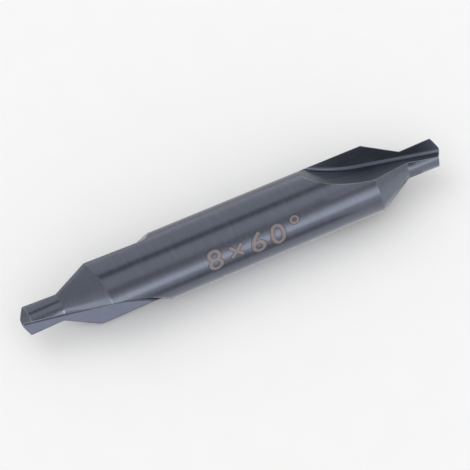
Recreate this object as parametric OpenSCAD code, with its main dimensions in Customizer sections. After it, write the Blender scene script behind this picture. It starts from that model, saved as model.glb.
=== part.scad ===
// Centre drill: a round ground shank with a pilot drill and a 60 degree countersink at each end.
// The axis lies along X and the origin is at mid-length. All lengths are in millimetres.

/* [Shank] */

// Diameter of the ground shank
shank_d = 8; // [7:0.1:12]

// Length over the two chisel edges
overall_length = 52.8; // [48:0.1:80]

/* [Pilot drill] */

// Diameter across the corners of the lips
pilot_d = 3.5; // [2.6:0.1:4.2]

// Distance from the chisel edge back to the neck
pilot_length = 4.65; // [3.8:0.05:6.5]

// Loss of radius from the lip corner back to the neck
pilot_taper = 0.06; // [0.02:0.01:0.12]

// Included angle of the cone that each point flank is ground to
point_angle = 124; // [118:1:140]

// Flank cone: how far its axis lies across the tool's axis from the lip it backs
flank_cross = 1.1; // [0.9:0.05:1.4]

// Flank cone: how far its axis lies ahead of the lip, which gives the lip its relief
flank_lead = 1.6; // [1:0.05:1.8]

/* [Countersink] */

// Included angle of the countersink
cone_angle = 60; // [55:1:90]

// Radius of the blend between pilot and countersink
neck_radius = 0.6; // [0.3:0.1:1]

// Fall of each land behind its cutting edge: tilt of its grinding axis, in degrees
land_relief = 3; // [1.5:0.1:3.5]

/* [Flutes] */

// Thickness of the web at the chisel edge
web = 0.5; // [0.4:0.05:0.8]

// Depth of the flute root below the axis at the chisel edge
root_depth = 0.1; // [0:0.01:0.2]

// Rise of the flute root from the point towards the shank, in degrees
web_slope = 10.7; // [8:0.1:13]

// Skew of the rake face to the axis, in degrees
rake_skew = 2.2; // [0.5:0.1:3]

// Angle between the rake face and the back wall of the flute
flute_angle = 111; // [104:0.5:118]

// Radius in the root of the flute
root_radius = 0.5; // [0.2:0.05:0.6]

// Length of the straight root before the run-out begins
root_straight = 10; // [8:0.1:12]

// Radius of the run-out, as left by the grinding wheel
wheel_r = 21; // [16:0.5:40]

/* [Clocking] */

// Turn of the cutting edges at the +X end, from +Z towards +Y
clock_right = 56; // [0:1:180]

// Turn of the cutting edges at the -X end, from +Z towards +Y
clock_left = 35; // [0:1:180]

/* [Hidden] */

$fn = 96;

// Flutes and lands at each end
flutes = 2;

// Overrun of the blank and of the cuts past the point
overrun = 1;

shank_r = shank_d / 2;
tip_x = overall_length / 2;
tip_r = pilot_d / 2;
neck_r = tip_r - pilot_taper;
half_cone = cone_angle / 2;
half_point = point_angle / 2;

// The countersink form is carried on outside the shank, clear of its tilt at mid-length
form_clear = 2;
form_r = shank_r + form_clear;
form_length = tip_x + form_clear;
shoulder_x = pilot_length + (form_r - neck_r) / tan(half_cone);

// Neck blend: tangent length and the centre of its circle
neck_tangent = neck_radius * tan(half_cone / 2);
neck_on_pilot = [neck_r, neck_tangent - pilot_length];
neck_on_cone = [
    neck_r + neck_tangent * sin(half_cone),
    -pilot_length - neck_tangent * cos(half_cone)
];
neck_centre = [neck_r + neck_radius, neck_on_pilot[1]];

// Flute section: the wall leaves the root at the flute angle to the rake face
flute_reach = shank_d;
wall_run = -flute_reach / tan(flute_angle);
root_tangent = root_radius / tan(flute_angle / 2);
root_on_rake = [wheel_r - root_tangent, 0];
root_on_wall = [
    wheel_r - root_tangent * cos(flute_angle),
    root_tangent * sin(flute_angle)
];
root_centre = [wheel_r - root_tangent, root_radius];

// The wheel dips a little into the straight root before it lifts, and turns until it has left the shank
wheel_dip = 0.01;
wheel_lead = 6;
wheel_sweep = 45;

// Flank cone: its apex stands so far ahead that the two flanks meet in a chisel edge at the axis
flank_apex = norm([flank_cross, flank_lead]) / tan(half_point);
flank_block = pilot_d + overrun;
flank_depth = pilot_length / 2;
flank_r = (flank_apex + flank_depth + overrun) * tan(half_point);

// The two lands of an end are parted through the middle of the flutes
land_turn = 45;

steel = [0.36, 0.375, 0.42];

// Half section of pilot and countersink, point at the top
module form_section() {
    difference() {
        polygon([
            [0, overrun],
            [tip_r, overrun],
            [tip_r, 0],
            neck_on_pilot,
            neck_on_cone,
            [form_r, -shoulder_x],
            [form_r, -form_length],
            [0, -form_length]
        ]);
        translate(neck_centre)
            circle(r = neck_radius);
    }
}

// One land: half a turn of the form, its axis tilted about the point towards the cutting side
module land() {
    rotate([0, 0, land_relief])
        rotate([land_turn, 0, 0])
            rotate([0, 90, 0])
                rotate_extrude(angle = 180)
                    form_section();
}

// Section of the grinding wheel: x is its radius, y runs from the rake face into the flute
module flute_section() {
    polygon([
        [wheel_r - flute_reach, 0],
        root_on_rake,
        root_on_wall,
        [wheel_r + wall_run, flute_reach],
        [wheel_r - flute_reach, flute_reach]
    ]);
    translate(root_centre)
        circle(r = root_radius);
}

// One flute: a straight pass in from the point, then the lift of the wheel
module flute() {
    translate([0, -web / 2, -root_depth])
        rotate([0, web_slope, -rake_skew]) {
            translate([flute_reach, 0, wheel_r])
                rotate([180, 90, 0])
                    linear_extrude(flute_reach + root_straight)
                        flute_section();
            translate([-root_straight, 0, wheel_r - wheel_dip])
                rotate([90, 0, 0])
                    rotate([0, 0, 270 - wheel_sweep])
                        rotate_extrude(angle = wheel_sweep + wheel_lead)
                            flute_section();
        }
}

// Everything beyond one flank of the point
module flank() {
    difference() {
        translate([-flank_depth, -flank_block / 2, -flank_block / 2])
            cube([flank_depth + 2 * overrun, flank_block, flank_block]);
        translate([flank_apex, -flank_lead, -flank_cross])
            rotate([0, -90, 0])
                cylinder(r1 = 0, r2 = flank_r, h = flank_r / tan(half_point));
    }
}

// Repeats a piece for each cutting edge of an end
module each_edge() {
    for (i = [0 : flutes - 1])
        rotate([i * 360 / flutes, 0, 0])
            children();
}

// Puts pieces drawn about the point at both ends of the tool
module each_end() {
    rotate([-clock_right, 0, 0])
        translate([tip_x, 0, 0])
            children();
    rotate([clock_left, 0, 180])
        translate([tip_x, 0, 0])
            children();
}

module shank() {
    rotate([0, 90, 0])
        cylinder(r = shank_r, h = overall_length + 2 * overrun, center = true);
}

module centre_drill() {
    color(steel)
        difference() {
            intersection() {
                shank();
                each_end()
                    each_edge()
                        land();
            }
            each_end()
                each_edge() {
                    flute();
                    flank();
                }
        }
}

centre_drill();
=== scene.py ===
import math

import bmesh
import bpy
from mathutils import Matrix, Vector


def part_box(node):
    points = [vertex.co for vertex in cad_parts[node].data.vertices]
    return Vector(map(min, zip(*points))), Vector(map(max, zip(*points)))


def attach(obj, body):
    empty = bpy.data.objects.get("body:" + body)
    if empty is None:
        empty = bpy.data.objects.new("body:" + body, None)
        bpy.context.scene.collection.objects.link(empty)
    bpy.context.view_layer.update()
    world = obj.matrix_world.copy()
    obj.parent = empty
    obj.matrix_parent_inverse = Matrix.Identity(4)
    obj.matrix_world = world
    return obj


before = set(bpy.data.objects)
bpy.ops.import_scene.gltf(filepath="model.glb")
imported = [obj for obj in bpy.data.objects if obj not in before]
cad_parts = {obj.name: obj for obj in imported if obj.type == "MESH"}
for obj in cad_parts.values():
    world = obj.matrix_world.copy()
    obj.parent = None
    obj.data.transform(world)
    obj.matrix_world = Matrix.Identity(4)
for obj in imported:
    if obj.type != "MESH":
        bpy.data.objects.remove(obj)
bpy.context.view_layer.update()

MM = 0.001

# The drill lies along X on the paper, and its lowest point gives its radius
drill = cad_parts["centre_drill"]
paper_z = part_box("centre_drill")[0].z
shank_r = -paper_z

# Camera at the photograph's viewing angle, with the drill across a square picture
camera_azimuth = -25.8
camera_elevation = 58.9
camera_distance = 260 * MM
picture_width = 53.5 * MM
sensor_width = 36.0
clip_ratio = 50

# Ground steel: tones from dark to light, roughness of each surface, and sizes of the patterns on it
shank_tones = ("#5a5e69", "#646874")
# The rake faces are coloured darker than the shank: painted shade for the dark reflections in the flutes
rake_painted_shade_tones = ("#4c505c", "#535763")
# Lighter colour on the edges: partly rubbed wear, partly a painted highlight
rubbed_and_highlight_tone = "#989ca6"
shank_roughness = 0.21
rake_roughness = 0.13
wall_roughness = 0.275
line_roughness = 0.06
line_contrast = 0.06
line_depth = 0.01 * MM
patch_size = 2.2 * MM
edge_radius = 0.13 * MM

# Grinding lines: the real ones are about 0.02 mm apart, drawn at 0.2 mm so that they show
line_spacing = 0.2 * MM
round_line_length = 3 * MM
flute_line_length = 4 * MM

# Laser spots: the real ones are about 0.05 mm across, drawn at 0.3 mm so that they show
spot_size = 0.3 * MM
spot_depth = 0.01 * MM

# Size mark on the shank: its diameter and the countersink's angle
mark_words = "8×60°"
mark_length = 11.6 * MM
mark_height = 2.6 * MM
mark_centre_x = 0.9 * MM
mark_turn = -54.0
mark_spacing = 1.25
# The strokes lie on a darker layer, a painted shadow round them, which is lifted less and spread wider
mark_lift = 0.014 * MM
shadow_lift = 0.007 * MM
stroke_spread = 0.006
shadow_spread = 0.03
font_thickness = 0.01
bend_steps = 12

# Cards that stand round the drill: turn from overhead towards the back and half of the angle that each one
# fills, in degrees, then its distance, its middle and its half length along X, and its brightness
standing_cards = {
    "overhead_gap": (13.0, 9.0, 250 * MM, -6 * MM, 114 * MM, 0.3),  # dark line near the top
    "overhead_right": (7.0, 9.0, 250 * MM, 165 * MM, 35 * MM, 3.0),  # light in the right flute
    "upper_right": (-14.0, 10.0, 250 * MM, 130 * MM, 70 * MM, 1.22),  # lighter shank on the right
    "camera_side": (-47.0, 11.0, 250 * MM, -20 * MM, 102 * MM, 0.55),  # dark band along the middle
    "low_front_right": (-66.0, 4.5, 250 * MM, 210 * MM, 135 * MM, 2.3),  # wider streak on the right
    "low_front_strip": (-79.5, 9.0, 250 * MM, 50 * MM, 350 * MM, 2.4),  # bright streak under the band
    "low_back_strip": (82.0, 7.0, 250 * MM, 50 * MM, 350 * MM, 1.3),  # light along the upper edge
    "left_end": (10.0, 62.0, 200 * MM, -240 * MM, 90 * MM, 0.78),  # even grey on the left countersink
    "right_flute": (-37.5, 9.5, 30 * MM, 25.75 * MM, 7.25 * MM, 0.25),  # dark rake face on the right
    "shank_end": (-32.5, 7.5, 7 * MM, 15.75 * MM, 4.25 * MM, 0.95),  # keeps that dark off the shank
    "right_back": (80.0, 18.0, 20 * MM, 32 * MM, 9 * MM, 0.4),  # dark back wall on the right
    "left_glint": (-79.0, 6.0, 240 * MM, -64 * MM, 20 * MM, 16.0),  # sparks on the left corners
    "heel_glint": (75.0, 8.0, 240 * MM, 115 * MM, 20 * MM, 5.0),  # light on the right run-out
}

# Cards that lie on the paper: nearest left corner, farthest right corner, and brightness
lying_cards = {
    "near_bounce": ((-40 * MM, -10.5 * MM), (24 * MM, -3 * MM), 1.05),  # light on the lower side
    "front_line": ((-10 * MM, -25 * MM), (16 * MM, -11.5 * MM), 0.46),  # dark line low on the shank
    "right_bounce": ((24.5 * MM, -50 * MM), (100 * MM, 5 * MM), 1.25),  # light on the right countersink
    "right_shade": ((24.5 * MM, 8 * MM), (60 * MM, 50 * MM), 0.3),  # shade behind the right end
    "back_shade": ((-60 * MM, 5 * MM), (24 * MM, 40 * MM), 0.75),  # softer upper side
}
card_lift = 0.05 * MM

# Paper, softbox and the white of the studio, in metres and watts
paper_half = 1.5
softbox_place = (-0.2, 0.3, 0.5)
softbox_size = 0.4
softbox_power = 0.5
studio_seen = 1.0
studio_on_paper = 0.9


def linear(code):
    """An sRGB hex colour as a linear RGBA colour."""
    parts = [int(code[i:i + 2], 16) / 255 for i in (1, 3, 5)]
    return [p / 12.92 if p <= 0.04045 else ((p + 0.055) / 1.055) ** 2.4 for p in parts] + [1.0]


def per_metre(*spacing):
    """A pattern's scale on each axis, from its spacing in metres."""
    return [1 / s for s in spacing]


def node(tree, kind, inputs=None, **settings):
    """Adds a node with its settings, and fills its sockets with values or links."""
    made = tree.nodes.new(kind)
    for name, value in settings.items():
        setattr(made, name, value)
    for socket, value in (inputs or {}).items():
        if isinstance(value, bpy.types.NodeSocket):
            tree.links.new(value, made.inputs[socket])
        else:
            made.inputs[socket].default_value = value
    return made


def new_material(name):
    """An empty material, with its tree and its output node."""
    material = bpy.data.materials.new(name)
    material.use_nodes = True
    material.node_tree.nodes.clear()
    return material, material.node_tree, node(material.node_tree, "ShaderNodeOutputMaterial")


def ground_high_speed_steel():
    """Hardened high-speed steel, ground all over and left bare: a dark blue-grey satin metal.
    The wheel leaves fine lines round the shank and along the flutes; the edges are coloured lighter,
    partly rubbed and partly a painted highlight, and the rake faces darker as painted shade."""
    material, tree, output = new_material("ground_high_speed_steel")
    place = node(tree, "ShaderNodeTexCoord")

    # Which way the surface faces round the axis: 0 on shank and lands, towards 1 on the rake faces and
    # towards -1 on the back walls of the flutes; the two ends of the drill cut opposite ways
    from_axis = node(
        tree, "ShaderNodeVectorMath",
        {0: place.outputs["Object"], 1: (0, 1, 1)},
        operation="MULTIPLY",
    )
    outward = node(tree, "ShaderNodeVectorMath", {0: from_axis.outputs[0]}, operation="NORMALIZE")
    around = node(
        tree, "ShaderNodeVectorMath",
        {0: (1, 0, 0), 1: outward.outputs[0]},
        operation="CROSS_PRODUCT",
    )
    facing = node(
        tree, "ShaderNodeVectorMath",
        {0: around.outputs[0], 1: place.outputs["Normal"]},
        operation="DOT_PRODUCT",
    )
    axes = node(tree, "ShaderNodeSeparateXYZ", {0: place.outputs["Object"]})
    end = node(tree, "ShaderNodeMath", {0: axes.outputs["X"]}, operation="SIGN")
    side = node(
        tree, "ShaderNodeMath",
        {0: facing.outputs["Value"], 1: end.outputs[0]},
        operation="MULTIPLY",
    )
    rake = node(
        tree, "ShaderNodeMapRange",
        {"Value": side.outputs[0], "From Min": 0.25, "From Max": 0.5},
        interpolation_type="SMOOTHSTEP",
    )
    wall = node(
        tree, "ShaderNodeMapRange",
        {"Value": side.outputs[0], "From Min": -0.25, "From Max": -0.5},
        interpolation_type="SMOOTHSTEP",
    )
    in_flute = node(
        tree, "ShaderNodeMath",
        {0: rake.outputs[0], 1: wall.outputs[0]},
        operation="MAXIMUM",
    )

    # Grinding lines: round the shank and the lands, and along the flutes
    round_scale = per_metre(line_spacing, round_line_length, round_line_length)
    flute_scale = per_metre(flute_line_length, line_spacing, line_spacing)
    round_lines = node(
        tree, "ShaderNodeMapping",
        {"Vector": place.outputs["Object"], "Scale": round_scale},
    )
    flute_lines = node(
        tree, "ShaderNodeMapping",
        {"Vector": place.outputs["Object"], "Scale": flute_scale},
    )
    line_place = node(
        tree, "ShaderNodeMix",
        {0: in_flute.outputs[0], 4: round_lines.outputs[0], 5: flute_lines.outputs[0]},
        data_type="VECTOR",
    )
    lines = node(
        tree, "ShaderNodeTexNoise",
        {"Vector": line_place.outputs[1], "Scale": 1.0, "Detail": 3.0, "Roughness": 0.6},
    )
    line_light = node(
        tree, "ShaderNodeMapRange",
        {"Value": lines.outputs["Fac"], "From Min": 0.3, "From Max": 0.7,
         "To Min": 1 - line_contrast, "To Max": 1 + line_contrast},
    )

    # Heat tint and handling: soft patches about 2 mm across, with a fine grain in them
    patches = node(
        tree, "ShaderNodeTexNoise",
        {"Vector": place.outputs["Object"], "Scale": 1 / patch_size, "Detail": 6.0, "Roughness": 0.65},
    )
    shank_tone = node(
        tree, "ShaderNodeMix",
        {0: patches.outputs["Fac"], 6: linear(shank_tones[0]), 7: linear(shank_tones[1])},
        data_type="RGBA",
    )
    # Rake faces in the darker tone: painted shade
    rake_painted_shade_tone = node(
        tree, "ShaderNodeMix",
        {0: patches.outputs["Fac"], 6: linear(rake_painted_shade_tones[0]), 7: linear(rake_painted_shade_tones[1])},
        data_type="RGBA",
    )
    tone = node(
        tree, "ShaderNodeMix",
        {0: rake.outputs[0], 6: shank_tone.outputs[2], 7: rake_painted_shade_tone.outputs[2]},
        data_type="RGBA",
    )
    lined_tone = node(
        tree, "ShaderNodeVectorMath",
        {0: tone.outputs[2], "Scale": line_light.outputs[0]},
        operation="SCALE",
    )

    # Edges coloured lighter, unevenly, partly rubbed and partly a painted highlight: where the rounded
    # normal leaves the true one
    rounded = node(tree, "ShaderNodeBevel", {"Radius": edge_radius}, samples=8)
    surface = node(tree, "ShaderNodeNewGeometry")
    agreement = node(
        tree, "ShaderNodeVectorMath",
        {0: rounded.outputs[0], 1: surface.outputs["Normal"]},
        operation="DOT_PRODUCT",
    )
    edge = node(
        tree, "ShaderNodeMapRange",
        {"Value": agreement.outputs["Value"], "From Min": 0.995, "From Max": 0.9},
    )
    rub = node(
        tree, "ShaderNodeMapRange",
        {"Value": patches.outputs["Fac"], "From Min": 0.35, "From Max": 0.65,
         "To Min": 0.55, "To Max": 0.95},
    )
    worn_and_highlight = node(tree, "ShaderNodeMath", {0: edge.outputs[0], 1: rub.outputs[0]}, operation="MULTIPLY")
    colour = node(
        tree, "ShaderNodeMix",
        {0: worn_and_highlight.outputs[0], 6: lined_tone.outputs[0], 7: linear(rubbed_and_highlight_tone)},
        data_type="RGBA",
    )

    # The rake faces are finished finest, and the back walls are left coarser than the shank
    rake_finish = node(
        tree, "ShaderNodeMapRange",
        {"Value": rake.outputs[0], "To Min": shank_roughness, "To Max": rake_roughness},
    )
    finish = node(
        tree, "ShaderNodeMix",
        {0: wall.outputs[0], 2: rake_finish.outputs[0], 3: wall_roughness},
    )
    line_finish = node(
        tree, "ShaderNodeMapRange",
        {"Value": lines.outputs["Fac"], "From Min": 0.3, "From Max": 0.7, "To Max": line_roughness},
    )
    roughness = node(
        tree, "ShaderNodeMath",
        {0: finish.outputs[0], 1: line_finish.outputs[0]},
        operation="ADD",
    )
    relief = node(
        tree, "ShaderNodeBump",
        {"Strength": 0.08, "Distance": line_depth, "Height": lines.outputs["Fac"],
         "Normal": rounded.outputs[0]},
    )
    steel = node(
        tree, "ShaderNodeBsdfPrincipled",
        {"Base Color": colour.outputs[2], "Metallic": 1.0, "Roughness": roughness.outputs[0],
         "Normal": relief.outputs[0]},
    )
    tree.links.new(steel.outputs[0], output.inputs["Surface"])
    return material


def burn_and_shadow_film(name, dark, light, metallic, rough):
    """Steel that a laser has burnt, also used darker for the painted shadow round the mark: a thin matt
    film, uneven where the burnt spots overlap.
    """
    material, tree, output = new_material(name)
    place = node(tree, "ShaderNodeTexCoord")
    spots = node(
        tree, "ShaderNodeTexNoise",
        {"Vector": place.outputs["Object"], "Scale": 1 / spot_size, "Detail": 2.0},
    )
    colour = node(
        tree, "ShaderNodeMix",
        {0: spots.outputs["Fac"], 6: linear(dark), 7: linear(light)},
        data_type="RGBA",
    )
    relief = node(
        tree, "ShaderNodeBump",
        {"Strength": 0.4, "Distance": spot_depth, "Height": spots.outputs["Fac"]},
    )
    film = node(
        tree, "ShaderNodeBsdfPrincipled",
        {"Base Color": colour.outputs[2], "Metallic": metallic, "Roughness": rough,
         "Normal": relief.outputs[0]},
    )
    tree.links.new(film.outputs[0], output.inputs["Surface"])
    return material


def white_paper():
    """Matt white background paper: even, without gloss, and it keeps the soft shadow."""
    material, tree, output = new_material("white_paper")
    place = node(tree, "ShaderNodeTexCoord")
    fibre = node(tree, "ShaderNodeTexNoise", {"Vector": place.outputs["Object"], "Scale": 1 / (4 * MM)})
    colour = node(
        tree, "ShaderNodeMix",
        {0: fibre.outputs["Fac"], 6: linear("#fafafa"), 7: linear("#fcfcfc")},
        data_type="RGBA",
    )
    sheet = node(tree, "ShaderNodeBsdfDiffuse", {"Color": colour.outputs[2], "Roughness": 1.0})
    tree.links.new(sheet.outputs[0], output.inputs["Surface"])
    return material


def card_paper(name, brightness):
    """Evenly lit card, from black to bright white."""
    material, tree, output = new_material("lit_card_" + name)
    glow = node(tree, "ShaderNodeEmission", {"Color": linear("#ffffff"), "Strength": brightness})
    tree.links.new(glow.outputs[0], output.inputs["Surface"])
    return material


def mesh_object(name, made, material):
    """Turns a bmesh into an object at the origin with one material."""
    mesh = bpy.data.meshes.new(name)
    made.to_mesh(mesh)
    made.free()
    mesh.materials.append(material)
    placed = bpy.data.objects.new(name, mesh)
    bpy.context.scene.collection.objects.link(placed)
    return placed


def flat_words(spread):
    """The words of the size mark as a thin flat bmesh, in the font's own units."""
    curve = bpy.data.curves.new("size_mark_words", "FONT")
    curve.body = mark_words
    curve.space_character = mark_spacing
    curve.extrude = font_thickness
    curve.offset = spread
    words = bpy.data.objects.new("size_mark_words", curve)
    bpy.context.scene.collection.objects.link(words)
    flat = bpy.data.meshes.new_from_object(words.evaluated_get(bpy.context.evaluated_depsgraph_get()))
    made = bmesh.new()
    made.from_mesh(flat)
    bpy.data.objects.remove(words)
    bpy.data.curves.remove(curve)
    bpy.data.meshes.remove(flat)
    bmesh.ops.remove_doubles(made, verts=made.verts, dist=font_thickness / 100)
    return made


def size_mark():
    """The size mark: plain numbers on the shank, with a darker painted shadow that shows round them."""
    plain = flat_words(stroke_spread)
    low = Vector([min(v.co[i] for v in plain.verts) for i in range(3)])
    high = Vector([max(v.co[i] for v in plain.verts) for i in range(3)])
    plain.free()
    middle = (low + high) / 2
    wide = mark_length / (high.x - low.x)
    tall = mark_height / (high.y - low.y)
    # The darker layer round the strokes is a painted shadow; the lighter strokes are the burnt oxide of
    # the mark
    mark_shadow = burn_and_shadow_film("painted_shadow_steel", "#43424a", "#565459", 0.9, 0.4)
    oxide = burn_and_shadow_film("etched_oxide", "#6c666a", "#8c8180", 0.4, 0.55)
    layers = (
        ("size_mark_painted_shadow", shadow_spread, shadow_lift, mark_shadow),
        ("size_mark", stroke_spread, mark_lift, oxide),
    )
    for name, spread, lift, material in layers:
        made = flat_words(spread)
        bmesh.ops.translate(made, verts=made.verts, vec=-middle)
        bmesh.ops.scale(made, verts=made.verts, vec=(wide, tall, lift / font_thickness))
        for i in range(1, bend_steps):
            bmesh.ops.bisect_plane(
                made, geom=made.verts[:] + made.edges[:] + made.faces[:],
                plane_co=(0, mark_height * (i / bend_steps - 0.5), 0), plane_no=(0, 1, 0),
            )
        for corner in made.verts:
            along, round_shank, up = corner.co
            turn = math.radians(mark_turn) + round_shank / shank_r
            reach = shank_r + up
            corner.co = (mark_centre_x + along, reach * math.sin(turn), reach * math.cos(turn))
        bmesh.ops.recalc_face_normals(made, faces=made.faces)
        layer = mesh_object(name, made, material)
        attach(layer, "root")


def paper():
    """A sheet of paper under the drill, large enough to fill every view."""
    made = bmesh.new()
    bmesh.ops.create_grid(made, x_segments=1, y_segments=1, size=paper_half)
    bmesh.ops.translate(made, verts=made.verts, vec=(0, 0, paper_z))
    mesh_object("paper", made, white_paper())


def card(name, size, middle, turn, brightness):
    """A card that only the metal reflects: flat, then moved, then turned about the drill's axis."""
    made = bmesh.new()
    bmesh.ops.create_grid(made, x_segments=1, y_segments=1, size=0.5)
    bmesh.ops.scale(made, verts=made.verts, vec=(*size, 1))
    bmesh.ops.translate(made, verts=made.verts, vec=middle)
    bmesh.ops.rotate(made, verts=made.verts, matrix=Matrix.Rotation(math.radians(-turn), 3, "X"))
    placed = mesh_object(name, made, card_paper(name, brightness))
    placed.visible_camera = False
    placed.visible_diffuse = False
    placed.visible_shadow = False


def cards():
    """The cards, bright and dark, that draw the long streaks on the shank and shade the flutes."""
    for name, (turn, half_angle, distance, along, half_length, brightness) in standing_cards.items():
        width = 2 * distance * math.tan(math.radians(half_angle))
        card(name, (2 * half_length, width), (along, 0, distance), turn, brightness)
    for name, (near, far, brightness) in lying_cards.items():
        size = (far[0] - near[0], far[1] - near[1])
        middle = ((near[0] + far[0]) / 2, (near[1] + far[1]) / 2, paper_z + card_lift)
        card(name, size, middle, 0, brightness)


def softbox():
    """A softbox behind the drill that casts its soft shadow forwards."""
    data = bpy.data.lights.new("softbox", "AREA")
    data.energy = softbox_power
    data.size = softbox_size
    lamp = bpy.data.objects.new("softbox", data)
    lamp.location = softbox_place
    lamp.rotation_mode = "QUATERNION"
    lamp.rotation_quaternion = (-Vector(softbox_place)).to_track_quat("-Z", "Y")
    lamp.visible_glossy = False
    bpy.context.scene.collection.objects.link(lamp)


def studio():
    """White to the camera and to reflections, and a little dimmer as a light on the paper."""
    world = bpy.data.worlds.new("studio")
    world.use_nodes = True
    tree = world.node_tree
    tree.nodes.clear()
    path = node(tree, "ShaderNodeLightPath")
    seen = node(
        tree, "ShaderNodeMath",
        {0: path.outputs["Is Camera Ray"], 1: path.outputs["Is Glossy Ray"]},
        operation="MAXIMUM",
    )
    seen_through = node(
        tree, "ShaderNodeMath",
        {0: seen.outputs[0], 1: path.outputs["Is Transmission Ray"]},
        operation="MAXIMUM",
    )
    strength = node(
        tree, "ShaderNodeMapRange",
        {"Value": seen_through.outputs[0], "To Min": studio_on_paper, "To Max": studio_seen},
    )
    white = node(
        tree, "ShaderNodeBackground",
        {"Color": linear("#ffffff"), "Strength": strength.outputs[0]},
    )
    node(tree, "ShaderNodeOutputWorld", {"Surface": white.outputs[0]})
    bpy.context.scene.world = world


def camera():
    """The camera, at the photograph's viewing angle."""
    turn = math.radians(camera_azimuth)
    rise = math.radians(camera_elevation)
    back = Vector((math.sin(turn) * math.cos(rise), -math.cos(turn) * math.cos(rise), math.sin(rise)))
    data = bpy.data.cameras.new("camera")
    data.sensor_width = sensor_width
    data.lens = sensor_width * camera_distance / picture_width
    data.clip_start = camera_distance / clip_ratio
    data.clip_end = camera_distance * clip_ratio
    placed = bpy.data.objects.new("camera", data)
    placed.location = back * camera_distance
    placed.rotation_mode = "QUATERNION"
    placed.rotation_quaternion = (-back).to_track_quat("-Z", "Y")
    bpy.context.scene.collection.objects.link(placed)
    bpy.context.scene.camera = placed


drill.material_slots[0].material = ground_high_speed_steel()
size_mark()

paper()
cards()
softbox()
studio()
camera()
bpy.context.scene.view_settings.view_transform = "Standard"
